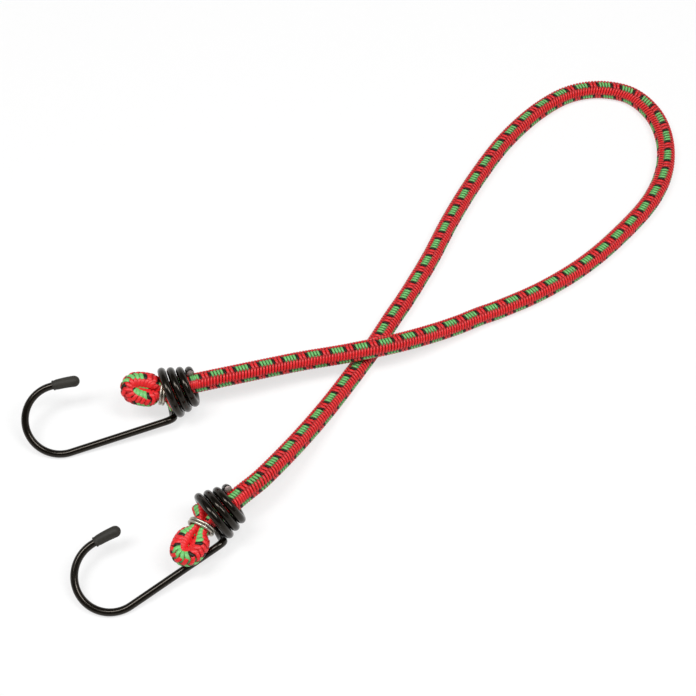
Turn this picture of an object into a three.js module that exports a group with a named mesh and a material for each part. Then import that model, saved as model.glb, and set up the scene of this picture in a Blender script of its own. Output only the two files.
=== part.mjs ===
// Bungee cord with two wire hooks, lying in one loose loop on a flat surface.
// Millimetres, +Z up. The surface is Z = 0 and the origin lies under the middle of the part's box.
// The cord is a braided sheath round rubber strands. It is folded back at both ends, clamped there,
// and held in the conical coil of a hook.

import * as THREE from 'three';

// Cord
const CORD_DIAMETER = 8;
const SHEATH_WALL = 1.2;
const STRAND_COUNT = 4;
const CORE_CLEARANCE = 0.3;
const FLAT_SHARE = 0.1; // part of the diameter that the cord's weight flattens underneath
const STRETCH_GAP = 0.3; // between two stretches of cord that meet end to end

// Hook wire: a conical coil, a straight shank and a J
const WIRE_DIAMETER = 3;
const COIL_CLEARANCE = 0.8; // round the cord in the coil's small end
const COIL_TAPER = 1.05; // loss of radius in each turn
const COIL_PITCH = 3.55;
const COIL_TURNS = 3.6;
const ELBOW_TURN = 15; // degrees of the first turn that the elbow takes
const ELBOW_LENGTH = 4;
const HOOK_REACH = 42.7; // from the coil's mouth to the centre of the J
const HOOK_OFFSET = 4.2; // from the coil's axis to the centre of the J
const HOOK_RADIUS = 14;
const HOOK_SWEEP = 185;
const TIP_LENGTH = 10;

// Vinyl cap on the hook's tip
const CAP_LENGTH = 11;
const CAP_WALL = 0.6;
const CAP_END_WALL = 1;
const CAP_CLEARANCE = 0.25;

// Folded end of the cord
const ENTRY_LENGTH = 0.6; // straight cord between the coil's small end and the free cord
const WAIST_WIDTH = 3.9; // one leg of the fold, squeezed in the clamp
const WAIST_DEPTH = 7.4;
const FOLD_DIAMETER = 6.6; // the cord is stretched thinner round its fold
const FOLD_LENGTH = 17; // from the clamp to the far end of the fold
const LEG_GAP = 0.5; // between the two legs of the fold
const TAIL_LENGTH = 6.4; // from the clamp to the cut end
const TAIL_WIDTH = 6;
const TAIL_SPREAD = 4; // from the clamp's middle to the middle of the cut end
const REST_CLEARANCE = 0.3; // between a fold that lies on the shank and the wire

// Clamp ring
const CLAMP_WIRE = 1.2;
const CLAMP_TURNS = 2;
const CLAMP_PITCH = 1.5;
const CLAMP_CLEARANCE = 0.3;
const CLAMP_SQUARENESS = 2.6; // exponent of the ring's rounded-off oval

// Fineness of the faceted surfaces
const CORD_SIDES = 12;
const BORE_SIDES = 10;
const STRAND_SIDES = 5;
const CORD_STEP = 13;
const WIRE_SIDES = 8;
const WIRE_STEP = 2.2;
const CAP_SIDES = 12;
const CAP_RINGS = 3;
const CLAMP_SIDES = 6;
const TURN_STEPS = 24;
const SPAN_STEPS = 40;
const LENGTH_STEPS = 2000;
const CROSSING_STEPS = 100; // least count of 1 mm steps along the cord between places that cross

// Sizes that follow from the ones above
const WIRE_RADIUS = WIRE_DIAMETER / 2;
const BORE_RADIUS = CORD_DIAMETER / 2 - SHEATH_WALL;
const FLOOR_LINE = CORD_DIAMETER * (0.5 - FLAT_SHARE);
const COIL_LENGTH = COIL_PITCH * COIL_TURNS;
const COIL_RADIUS = CORD_DIAMETER / 2 + COIL_CLEARANCE + WIRE_RADIUS + COIL_TAPER * COIL_TURNS;
const EXIT = COIL_LENGTH + WIRE_RADIUS + ENTRY_LENGTH;
const WAIST_OFFSET = (WAIST_WIDTH + LEG_GAP / 2) / 2;
const WAIST_HALF = (CLAMP_TURNS * CLAMP_PITCH + CLAMP_WIRE) / 2 + 2 * CLAMP_CLEARANCE;
const FOLD_RADIUS = (FOLD_DIAMETER + LEG_GAP) / 2;
const FOLD_REACH = FOLD_LENGTH - FOLD_DIAMETER / 2;
const SHANK_TOP = WIRE_RADIUS + REST_CLEARANCE;

// Where each hook lies, in degrees. The mouth is the middle of the coil's wide end. Yaw turns the
// coil's axis, pitch lifts its cord end and roll lifts the tip's side. The clamp's place is in the
// hook's frame. Swing turns the fold towards the tip and tilt turns it on its length. Lift is the
// height of the fold's far end: the upper fold lies in the throat and the lower one on its shank.
// The tail lies on the tip's side (1) or on the shank's side (-1).
const ENDS = {
  upper: {
    mouth: [-84.1, -41.2], yaw: 18.2, pitch: 6.2, roll: 31,
    clamp: [-1.1, 1.8, 0.6], swing: 29, tilt: 0, lift: 1.6, tailSide: -1,
  },
  lower: {
    mouth: [-63.5, -95.9], yaw: 34.3, pitch: 8.5, roll: 16.6,
    clamp: [-3.6, -0.8, 2.1], swing: -25, tilt: 18, lift: SHANK_TOP + FOLD_DIAMETER / 2, tailSide: 1,
  },
};

// Middle line of the free cord, from the lower hook round the loop to the upper hook. The first
// strand lies on the surface. The second one climbs over it and stays up as far as the hook.
const LOWER_LEG = [
  [-44.0, -79.8, 13.2], [-36.3, -70.1, 10.9], [-29.0, -59.9, 8.1], [-22.1, -49.7, 5.6],
  [-15.5, -39.6, 3.8],
];
const LOOP_ON_SURFACE = [
  [-10.3, -31.6], [-5.9, -25.0], [1.9, -12.9], [9.6, 0.5], [15.1, 9.6], [26.3, 30.3],
  [36.4, 51.8], [48.6, 74.1], [63.9, 97.2], [81.0, 115.2], [95.8, 124.9], [110.5, 127.7],
  [124.5, 124.0], [134.0, 112.5], [137.5, 97.2], [135.4, 79.8], [127.4, 62.8], [108.7, 41.0],
  [92.1, 26.1], [73.7, 13.9], [55.8, 5.0],
];
const LOOP_OVER = [
  [47.0, 1.1, 3.8], [38.2, -3.5, 4.8], [29.4, -7.9, 6.4], [20.8, -12.0, 8.4],
  [12.2, -15.7, 10.2], [3.8, -18.4, 11.1], [-4.5, -20.3, 11.2], [-10.7, -21.7, 11.2],
  [-17.0, -23.0, 11.3],
];
const UPPER_LEG = [[-29.3, -25.6, 11.7], [-45.7, -30.0, 12.7], [-59.8, -33.8, 13.4]];

const radians = THREE.MathUtils.degToRad;

const finishes = {
  sheath: new THREE.MeshStandardMaterial({ color: 0xb8302c, roughness: 0.75, metalness: 0 }),
  rubber: new THREE.MeshStandardMaterial({ color: 0xcdb98e, roughness: 0.6, metalness: 0 }),
  lacquer: new THREE.MeshStandardMaterial({ color: 0x101010, roughness: 0.2, metalness: 0.1 }),
  vinyl: new THREE.MeshStandardMaterial({ color: 0x35332e, roughness: 0.65, metalness: 0 }),
  steel: new THREE.MeshStandardMaterial({ color: 0xc4c6c8, roughness: 0.3, metalness: 1 }),
};

// Sections

function polygon(radius, sides, middle = new THREE.Vector2()) {
  return Array.from({ length: sides }, (_, i) => {
    const angle = ((i + 0.5) / sides) * 2 * Math.PI - Math.PI / 2;
    return new THREE.Vector2(Math.cos(angle), Math.sin(angle)).multiplyScalar(radius).add(middle);
  });
}

// The sheath's outline, pressed flat underneath where the cord lies on the surface.
function sheathOutline(pressed) {
  const outline = polygon(CORD_DIAMETER / 2, CORD_SIDES);
  if (pressed) outline.forEach((point) => { point.y = Math.max(point.y, -FLOOR_LINE); });
  return outline;
}

// Equal round strands side by side in a ring, with the same clearance to each other and the bore.
function strandOutlines() {
  const half = Math.sin(Math.PI / STRAND_COUNT);
  const room = BORE_RADIUS - CORE_CLEARANCE;
  const radius = (room * half - CORE_CLEARANCE / 2) / (1 + half);
  return polygon(room - radius, STRAND_COUNT).map((middle) => polygon(radius, STRAND_SIDES, middle));
}

// Carries an outline, and a bore if there is one, through a row of stations as one closed solid.
// A station has a point, two directions across the path, and the section's scale along each.
function sweep(stations, outline, bore = []) {
  const section = [...outline, ...bore];
  const positions = stations.flatMap(({ point, across, upward, width, depth }) =>
    section.flatMap((corner) => point.clone()
      .addScaledVector(across, corner.x * width)
      .addScaledVector(upward, corner.y * depth)
      .toArray()));
  const size = section.length;
  const triangles = [];
  const wall = (first, count, outward) => {
    for (let i = 0; i + 1 < stations.length; i++) {
      for (let j = 0; j < count; j++) {
        const a = i * size + first + j;
        const b = i * size + first + ((j + 1) % count);
        const quad = outward ? [a, b, b + size, a, b + size, a + size]
          : [a, b + size, b, a, a + size, b + size];
        triangles.push(...quad);
      }
    }
  };
  wall(0, outline.length, true);
  wall(outline.length, bore.length, false);
  const last = (stations.length - 1) * size;
  for (const [a, b, c] of THREE.ShapeUtils.triangulateShape(outline, bore.length ? [bore] : [])) {
    triangles.push(a, c, b, last + a, last + b, last + c);
  }
  const geometry = new THREE.BufferGeometry();
  geometry.setAttribute('position', new THREE.Float32BufferAttribute(positions, 3));
  geometry.setIndex(triangles);
  geometry.computeVertexNormals();
  return geometry;
}

function roundSection(radius, sides) {
  return new THREE.Shape(polygon(radius, sides));
}

// Least distance between the turns of a winding, from points on its middle line.
function leastGap(points, thickness, apart) {
  let least = Infinity;
  points.forEach((point, i) => {
    for (let j = i + apart; j < points.length; j++) {
      least = Math.min(least, point.distanceTo(points[j]));
    }
  });
  return least - thickness;
}

// Hook wire, in a frame whose +X is the coil's axis towards the cord and +Y points to the tip's side

class ConicalCoil extends THREE.Curve {
  getPoint(t, target = new THREE.Vector3()) {
    const start = ELBOW_TURN / 360;
    const turn = start + (COIL_TURNS - start) * t;
    const radius = COIL_RADIUS - COIL_TAPER * turn;
    const angle = turn * 2 * Math.PI;
    return target.set(COIL_PITCH * turn, -radius * Math.cos(angle), -radius * Math.sin(angle));
  }
}

class FlatArc extends THREE.Curve {
  constructor(centre, radius, from, to) {
    super();
    Object.assign(this, { centre, radius, from, to });
  }

  getPoint(t, target = new THREE.Vector3()) {
    const angle = this.from + (this.to - this.from) * t;
    return target.set(Math.cos(angle), Math.sin(angle), 0).multiplyScalar(this.radius).add(this.centre);
  }
}

// The J's centre, the elbow's corner, and the angles where the J meets the shank and the tip.
function hookLayout() {
  const centre = new THREE.Vector3(-HOOK_REACH, HOOK_OFFSET, 0);
  const turn = radians(ELBOW_TURN);
  const rim = (COIL_RADIUS - COIL_TAPER * (ELBOW_TURN / 360)) / Math.cos(turn);
  const corner = new THREE.Vector3(0, -rim, 0);
  const away = corner.clone().sub(centre);
  const shankAngle = Math.atan2(away.y, away.x) - Math.acos(HOOK_RADIUS / away.length());
  return { centre, corner, shankAngle, tipAngle: shankAngle - radians(HOOK_SWEEP) };
}

// The wire's middle line from the tip to the coil's small end, and the cut tip with its direction.
function hookPath() {
  const { centre, corner, shankAngle, tipAngle } = hookLayout();
  const coil = new ConicalCoil();
  const bend = new FlatArc(centre, HOOK_RADIUS, tipAngle, shankAngle);
  const outward = new THREE.Vector3(Math.sin(tipAngle), -Math.cos(tipAngle), 0);
  const tip = bend.getPoint(0).addScaledVector(outward, TIP_LENGTH);
  const shankStart = bend.getPoint(1);
  const shankEnd = corner.clone().sub(shankStart).setLength(-ELBOW_LENGTH).add(corner);
  const path = new THREE.CurvePath();
  path.add(new THREE.LineCurve3(tip, bend.getPoint(0)));
  path.add(bend);
  path.add(new THREE.LineCurve3(shankStart, shankEnd));
  path.add(new THREE.QuadraticBezierCurve3(shankEnd, corner, coil.getPoint(0)));
  path.add(coil);
  path.arcLengthDivisions = LENGTH_STEPS;
  return { path, coil, tip, outward };
}

function hookWire({ path, coil }) {
  const steps = Math.round(TURN_STEPS * COIL_TURNS);
  const gap = leastGap(coil.getSpacedPoints(steps), WIRE_DIAMETER, TURN_STEPS / 2);
  console.log(`least gap between a hook coil's turns: ${gap.toFixed(2)} mm`);
  return new THREE.ExtrudeGeometry(roundSection(WIRE_RADIUS, WIRE_SIDES), {
    extrudePath: path,
    steps: Math.ceil(path.getLength() / WIRE_STEP),
    bevelEnabled: false,
  });
}

// A dipped cap: round outside end, blind bore over the wire's straight tip.
function capGeometry() {
  const bore = WIRE_RADIUS + CAP_CLEARANCE;
  const outer = bore + CAP_WALL;
  const profile = [new THREE.Vector2(0, CAP_LENGTH - CAP_END_WALL)];
  profile.push(new THREE.Vector2(bore, CAP_LENGTH - CAP_END_WALL), new THREE.Vector2(bore, 0));
  profile.push(new THREE.Vector2(outer, 0));
  for (let i = 0; i < CAP_RINGS; i++) {
    const angle = ((Math.PI / 2) * i) / CAP_RINGS;
    const height = CAP_LENGTH - outer + outer * Math.sin(angle);
    profile.push(new THREE.Vector2(outer * Math.cos(angle), height));
  }
  profile.push(new THREE.Vector2(0, CAP_LENGTH));
  return new THREE.LatheGeometry(profile, CAP_SIDES);
}

// Folded end of the cord, in the same frame as its hook

// Directions of the fold: along it, from the standing leg to the tail, and square to both.
function foldFrame({ clamp, swing, tilt, lift, tailSide }) {
  const middle = new THREE.Vector3(...clamp);
  const rise = Math.asin((lift - middle.z) / FOLD_REACH);
  const turn = radians(swing);
  const along = new THREE.Vector3(
    -Math.cos(rise) * Math.cos(turn), Math.cos(rise) * Math.sin(turn), Math.sin(rise));
  const aside = new THREE.Vector3(0, tailSide, 0);
  aside.addScaledVector(along, -aside.dot(along)).normalize();
  aside.applyAxisAngle(along, radians(tilt));
  const square = new THREE.Vector3().crossVectors(along, aside);
  const at = (length, side, height = 0) => middle.clone().addScaledVector(along, length)
    .addScaledVector(aside, side).addScaledVector(square, height);
  return { along, square, at };
}

// Points of the fold's middle line with the section's scale at each, from the coil's small end
// through the clamp, round the fold and back through the clamp to the cut end.
function foldStations(frame) {
  const { at, square } = frame;
  const whole = [1, 1];
  const waist = [WAIST_WIDTH / CORD_DIAMETER, WAIST_DEPTH / CORD_DIAMETER];
  const thin = [FOLD_DIAMETER / CORD_DIAMETER, FOLD_DIAMETER / CORD_DIAMETER];
  const bendStart = FOLD_REACH - FOLD_RADIUS;
  const knots = [EXIT - STRETCH_GAP, COIL_LENGTH * 0.75, COIL_LENGTH * 0.4]
    .map((x) => [new THREE.Vector3(x, 0, 0), whole]);
  knots.push([at(-WAIST_HALF, -WAIST_OFFSET), waist], [at(WAIST_HALF, -WAIST_OFFSET), waist]);
  knots.push([at((WAIST_HALF + bendStart) / 2, -FOLD_RADIUS), thin]);
  for (const angle of [-90, -45, 0, 45, 90].map(radians)) {
    const length = bendStart + FOLD_RADIUS * Math.cos(angle);
    knots.push([at(length, FOLD_RADIUS * Math.sin(angle)), thin]);
  }
  knots.push([at((WAIST_HALF + bendStart) / 2, FOLD_RADIUS), thin]);
  knots.push([at(WAIST_HALF, WAIST_OFFSET), waist], [at(-WAIST_HALF, WAIST_OFFSET), waist]);
  knots.push([at(-TAIL_LENGTH, TAIL_SPREAD), [TAIL_WIDTH / CORD_DIAMETER, 1]]);
  const curve = new THREE.CatmullRomCurve3(knots.map(([point]) => point));
  const steps = 2 * (knots.length - 1);
  return Array.from({ length: steps + 1 }, (_, i) => {
    const before = knots[Math.floor(i / 2)][1];
    const after = knots[Math.ceil(i / 2)][1];
    const tangent = curve.getTangent(i / steps);
    const upward = square.clone().addScaledVector(tangent, -square.dot(tangent)).normalize();
    return {
      point: curve.getPoint(i / steps),
      across: new THREE.Vector3().crossVectors(upward, tangent),
      upward,
      width: (before[0] + after[0]) / 2,
      depth: (before[1] + after[1]) / 2,
    };
  });
}

// Turns of wire round both legs of the fold: an oval that clears the crown of each leg.
class ClampWinding extends THREE.Curve {
  constructor({ at }) {
    super();
    const room = CLAMP_CLEARANCE + CLAMP_WIRE / 2;
    this.at = at;
    this.halfWidth = WAIST_OFFSET + WAIST_WIDTH / 2 + room;
    const crown = 1 - (WAIST_OFFSET / this.halfWidth) ** CLAMP_SQUARENESS;
    this.halfDepth = (WAIST_DEPTH / 2 + room) / crown ** (1 / CLAMP_SQUARENESS);
  }

  getPoint(t) {
    const turn = CLAMP_TURNS * (t - 0.5);
    const angle = turn * 2 * Math.PI;
    const oval = (value) => Math.sign(value) * Math.abs(value) ** (2 / CLAMP_SQUARENESS);
    const side = this.halfWidth * oval(Math.cos(angle));
    const height = this.halfDepth * oval(Math.sin(angle));
    return this.at(CLAMP_PITCH * turn, side, height);
  }
}

function clampGeometry(frame) {
  const winding = new ClampWinding(frame);
  winding.arcLengthDivisions = LENGTH_STEPS;
  const gap = leastGap(winding.getSpacedPoints(TURN_STEPS * CLAMP_TURNS), CLAMP_WIRE, TURN_STEPS / 2);
  console.log(`least gap between a clamp's turns: ${gap.toFixed(2)} mm`);
  return new THREE.ExtrudeGeometry(roundSection(CLAMP_WIRE / 2, CLAMP_SIDES), {
    extrudePath: winding,
    steps: TURN_STEPS * CLAMP_TURNS,
    bevelEnabled: false,
  });
}

// Free cord

// Stations along a curve between two distances from its start, with the section kept upright and
// never lower than it lies on the surface.
function uprightStations(curve, from, to) {
  const total = curve.getLength();
  const steps = Math.ceil((to - from) / CORD_STEP);
  return Array.from({ length: steps + 1 }, (_, i) => {
    const u = THREE.MathUtils.clamp((from + ((to - from) * i) / steps) / total, 0, 1);
    const tangent = curve.getTangentAt(u);
    const across = new THREE.Vector3(-tangent.y, tangent.x, 0).normalize();
    const point = curve.getPointAt(u);
    point.z = Math.max(point.z, FLOOR_LINE);
    return {
      point,
      across,
      upward: new THREE.Vector3().crossVectors(tangent, across),
      width: 1,
      depth: 1,
    };
  });
}

// Assembly

function addMesh(parent, name, geometry, material) {
  const mesh = new THREE.Mesh(geometry, material);
  mesh.name = name;
  parent.add(mesh);
  return mesh;
}

function addCord(parent, stretch, stations, pressed) {
  const bore = polygon(BORE_RADIUS, BORE_SIDES);
  addMesh(parent, `sheath_${stretch}`, sweep(stations, sheathOutline(pressed), bore), finishes.sheath);
  strandOutlines().forEach((outline, i) => {
    addMesh(parent, `strand_${stretch}_${i + 1}`, sweep(stations, outline), finishes.rubber);
  });
}

// One end: hook, cap, folded cord and clamp in the hook's own frame, set down on the surface.
function addEnd(parent, side, placing) {
  const end = new THREE.Group();
  end.rotation.set(radians(placing.roll), radians(-placing.pitch), radians(placing.yaw), 'ZYX');
  end.position.set(...placing.mouth, 0);
  parent.add(end);

  const hook = hookPath();
  const wire = addMesh(end, `${side}_hook_wire`, hookWire(hook), finishes.lacquer);
  end.updateMatrixWorld();
  end.position.z = -new THREE.Box3().setFromObject(wire, true).min.z;

  const cap = addMesh(end, `${side}_tip_cap`, capGeometry(), finishes.vinyl);
  const seat = CAP_LENGTH - CAP_END_WALL - CAP_CLEARANCE;
  cap.position.copy(hook.tip).addScaledVector(hook.outward, -seat);
  cap.quaternion.setFromUnitVectors(new THREE.Vector3(0, 1, 0), hook.outward);

  const frame = foldFrame(placing);
  addCord(end, `${side}_eye`, foldStations(frame), false);
  addMesh(end, `${side}_clamp`, clampGeometry(frame), finishes.steel);

  end.updateMatrixWorld();
  const onAxis = (x) => end.localToWorld(new THREE.Vector3(x, 0, 0));
  return [onAxis(EXIT), onAxis(EXIT + CORD_DIAMETER / 4)];
}

function build() {
  const part = new THREE.Group();
  const lowerExit = addEnd(part, 'lower', ENDS.lower);
  const upperExit = addEnd(part, 'upper', ENDS.upper);

  const route = [
    ...lowerExit,
    ...LOWER_LEG.map((point) => new THREE.Vector3(...point)),
    ...LOOP_ON_SURFACE.map(([x, y]) => new THREE.Vector3(x, y, FLOOR_LINE)),
    ...LOOP_OVER.map((point) => new THREE.Vector3(...point)),
    ...UPPER_LEG.map((point) => new THREE.Vector3(...point)),
    ...upperExit.reverse(),
  ];
  const curve = new THREE.CatmullRomCurve3(route);
  curve.arcLengthDivisions = SPAN_STEPS * (route.length - 1);
  const lengths = curve.getLengths();
  const loopStart = lengths[SPAN_STEPS * (lowerExit.length + LOWER_LEG.length)];
  const loopEnd = lengths[SPAN_STEPS * (route.length - 1 - upperExit.length - UPPER_LEG.length)];
  const total = curve.getLength();
  const thickness = CORD_DIAMETER * (1 - FLAT_SHARE);
  const gap = leastGap(curve.getSpacedPoints(Math.ceil(total)), thickness, CROSSING_STEPS);
  console.log(`free cord ${total.toFixed(1)} mm, least gap where it crosses ${gap.toFixed(2)} mm`);

  addCord(part, 'lower_leg', uprightStations(curve, 0, loopStart - STRETCH_GAP), true);
  addCord(part, 'loop', uprightStations(curve, loopStart, loopEnd), true);
  addCord(part, 'upper_leg', uprightStations(curve, loopEnd + STRETCH_GAP, total), true);
  return part;
}

const group = build();

export default group;
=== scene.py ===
"""Bungee cord with two wire hooks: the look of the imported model.

The cord is sixteen yarns braided two over two under round a rubber core. Each end is folded back,
clamped with a wire ring and held in the conical coil of a hook. All lengths are metres in the frame
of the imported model.
"""

import bpy
import numpy as np
from bpy.props import FloatProperty, FloatVectorProperty, IntProperty, PointerProperty
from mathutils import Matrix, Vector


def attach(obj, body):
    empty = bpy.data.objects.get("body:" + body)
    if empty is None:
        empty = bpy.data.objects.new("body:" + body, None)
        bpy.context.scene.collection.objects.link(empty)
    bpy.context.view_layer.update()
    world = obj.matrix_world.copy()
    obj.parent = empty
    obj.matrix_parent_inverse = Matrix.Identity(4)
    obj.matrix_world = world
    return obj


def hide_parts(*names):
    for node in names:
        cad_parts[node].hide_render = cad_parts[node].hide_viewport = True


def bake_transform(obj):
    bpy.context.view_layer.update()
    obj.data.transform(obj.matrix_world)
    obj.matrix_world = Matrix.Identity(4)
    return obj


bl_info = {
    "name": "Bungee Cord",
    "version": (1, 0, 0),
    "blender": (4, 5, 0),
    "location": "View3D > Sidebar > Bungee",
    "description": "Braided elastic cord with two capped wire hooks",
    "category": "Add Mesh",
}

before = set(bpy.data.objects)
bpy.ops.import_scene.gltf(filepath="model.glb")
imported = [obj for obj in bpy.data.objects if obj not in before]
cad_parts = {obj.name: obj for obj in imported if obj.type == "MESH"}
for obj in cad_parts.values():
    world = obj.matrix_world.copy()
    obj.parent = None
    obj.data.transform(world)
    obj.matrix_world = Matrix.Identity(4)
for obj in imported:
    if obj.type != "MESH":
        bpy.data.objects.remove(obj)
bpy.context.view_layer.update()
MM = 0.001

# Middle line of the free cord in millimetres, from the lower hook round the loop to the upper hook.
LOWER_LEG = [
    (-44.0, -79.8, 13.2), (-36.3, -70.1, 10.9), (-29.0, -59.9, 8.1), (-22.1, -49.7, 5.6),
    (-15.5, -39.6, 3.8),
]
LOOP_ON_SURFACE = [
    (-10.3, -31.6), (-5.9, -25.0), (1.9, -12.9), (9.6, 0.5), (15.1, 9.6), (26.3, 30.3),
    (36.4, 51.8), (48.6, 74.1), (63.9, 97.2), (81.0, 115.2), (95.8, 124.9), (110.5, 127.7),
    (124.5, 124.0), (134.0, 112.5), (137.5, 97.2), (135.4, 79.8), (127.4, 62.8), (108.7, 41.0),
    (92.1, 26.1), (73.7, 13.9), (55.8, 5.0),
]
LOOP_OVER = [
    (47.0, 1.1, 3.8), (38.2, -3.5, 4.8), (29.4, -7.9, 6.4), (20.8, -12.0, 8.4),
    (12.2, -15.7, 10.2), (3.8, -18.4, 11.1), (-4.5, -20.3, 11.2), (-10.7, -21.7, 11.2),
    (-17.0, -23.0, 11.3),
]
UPPER_LEG = [(-29.3, -25.6, 11.7), (-45.7, -30.0, 12.7), (-59.8, -33.8, 13.4)]

# How each hook lies, in millimetres and degrees: the middle of its coil's wide end and its turns.
# Then, in the hook's own frame: the middle of the clamp, how the fold swings, tilts and lifts, the
# side of its tail, where the cord leaves the coil across its axis, how far past the clamp the fold
# has its full width, the radius of the fold, and how far the J's centre lies along and across.
ENDS = {
    "upper": {
        "mouth": (-84.1, -41.2, 11.284), "yaw": 18.2, "pitch": 6.2, "roll": 31.0,
        "clamp": (-0.5, 1.6, 0.8), "swing": 28.0, "tilt": 12.0, "lift": 2.0, "tail_side": -1.0,
        "exit": (0.5, 0.0), "shoulder": 2.2, "radius": 3.05,
        "reach": 43.1, "offset": 4.35,
    },
    "lower": {
        "mouth": (-63.5, -95.9, 11.148), "yaw": 34.3, "pitch": 8.5, "roll": 16.6,
        "clamp": (-3.6, -0.8, 2.1), "swing": -25.0, "tilt": 18.0, "lift": 5.1, "tail_side": 1.0,
        "exit": (0.8, 0.0), "shoulder": 4.0, "radius": 3.3,
        "reach": 42.1, "offset": 3.95,
    },
}

# Rows of coloured floats: degrees that they lie round the cord from the side that faces the viewer,
# towards the left of travel, at shares of the free cord. The folded ends are before 0 and after 1.
ROW_PLACES = [
    -0.085, -0.066, -0.045, -0.03, 0.0, 0.09, 0.14, 0.21, 0.28, 0.34, 0.42, 0.48, 0.55, 0.61, 0.67,
    0.73, 0.88, 1.0, 1.026, 1.045, 1.056, 1.069,
]
ROW_TURNS = [
    -25, -8, -2, 10, 31, 27, 21, 18, 14, 17, 30, 26, 6, -19, -18, -29, -28, -35, -28, -22, -58, -88,
]

# Millimetres of cord for one turn of a yarn, at shares of the free cord.
LAY_PLACES = [
    -0.066, -0.063, -0.042, -0.038, 0.0, 0.13, 0.2, 0.27, 0.35, 0.59, 0.65, 0.74, 0.79, 0.86, 1.0,
    1.003, 1.025, 1.028,
]
LAY_LENGTHS = [
    10.2, 12.5, 12.5, 10.2, 10.2, 10.2, 9.85, 9.9, 11.1, 11.1, 9.95, 9.9, 10.4, 10.05, 10.1, 6.5,
    6.5, 12.6,
]
LAY_SAMPLES = np.linspace(-0.2, 1.2, 2801)  # shares at which the turns are added up

# How many times wider and thinner the yarns lie, at shares of the free cord past its ends.
FLAT_PLACES = [0.015, 0.026]
FLAT_SPREADS = [1.0, 1.45]
FLAT_SHEEN = 1.5  # power of that spread by which the painted light crown of a flat yarn widens and its painted groove shade narrows

# Yarns of one hand round the cord: colour, and share of an even spacing. The other hand is all red.
YARN_COUNT = 8
RED, GREEN, BLACK, SHADE_LINER, MELTED = range(5)
YARNS = [(BLACK, 0.8), *[(GREEN, 1.0)] * 4, (BLACK, 0.8), *[(RED, 1.2)] * 2]
FLOAT_EDGE = 0.12  # how gently a yarn comes up into a float; 0 is a step
YARN_UV_STEP = 0.37  # between the UV maps of neighbouring yarns, so that their filaments differ
SIGHT = np.array([0.0, -0.5, 0.866])  # from the cord towards the viewer

# Where the free cord is cut into pieces, and how it lies.
LOWER_LEG_LENGTH = 0.052
UPPER_LEG_LENGTH = 0.0488
BEND_REACH = 0.022  # how far a leg's bend reaches into the loop past its joint
STRETCH_END = 0.003  # from a coil to the part of its leg that stretches
FLOOR_SHARE = 0.4  # height of the middle line on the floor, as a share of the cord
COIL_GAP = 0.0006  # from a coil's last turn to the free cord
STRAIGHT_SHARE = 0.6  # share of the coil in which the cord points along its leg
FACING_EASE = 0.014  # from a coil to where the rows of its fold face square to the fold
STRAND_SETBACK = 0.0005  # from the ends of a folded sheath to its strands
BORE_CLEARANCE = 0.0003
STRAND_CLEARANCE = 0.00015

# The sealed cut end: shares of the cord's radius, and metres past the cut.
PLUG_PROFILE = np.array([
    [0.86, -0.0006], [0.97, -0.0002], [0.99, 0.0001], [0.9, 0.0004], [0.7, 0.00055], [0.4, 0.0006],
    [0.12, 0.0006],
])

# Cut wire ends: how far they are rounded off, and the share of the wire that stays flat.
END_ROUNDING = 0.0003
HOOK_END_SHARE = 0.88
CLAMP_END_SHARE = 0.8
CLAMP_START = 0.25  # turns from the side of a fold to where its clamp's wire ends, underneath

# Tip cap: its mouth as a share of its outside, how it widens, and its rolled lip.
CAP_MOUTH_SHARE = 0.9
CAP_SIDE_POWER = 0.7
CAP_SIDE_START = 0.001
CAP_LIP_HALF = 0.0004
CAP_LIP_WIDTH = 0.00035
CAP_LIP_INSET = 0.0003
CAP_POLE = 0.0001  # radius of the small face in the middle of the hollow's end

# Fineness of the meshes: the longest step along a piece, the sides round it, and points on lines.
YARN_STEP, LINER_STEP, STRAND_STEP = 0.00025, 0.0012, 0.002
YARN_SIDES, LINER_SIDES, STRAND_SIDES, PLUG_SIDES = 8, 20, 10, 28
HOOK_SIDES, CAP_SIDES, CLAMP_SIDES, FLOOR_SIDES = 28, 32, 16, 64
TIP_POINTS, BEND_POINTS, SHANK_POINTS, ELBOW_POINTS, COIL_POINTS = 24, 120, 60, 24, 420
CLAMP_POINTS_PER_TURN = 120
STEPS_PER_SPAN = 40
CORD_LINE_POINTS = 120

# Floor: a flat disc whose edge bends up into a wall.
FLOOR_RINGS = [0.05, 0.5]
FLOOR_FLAT, FLOOR_BEND, FLOOR_WALL = 1.6, 0.6, 1.0
FLOOR_BEND_POINTS = 16
LAMP_SIZE = (0.28, 0.62)
LAMPS = {"lamp_left": (-0.42, -0.1, 1.05), "lamp_right": (0.42, -0.1, 1.05)}


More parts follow.
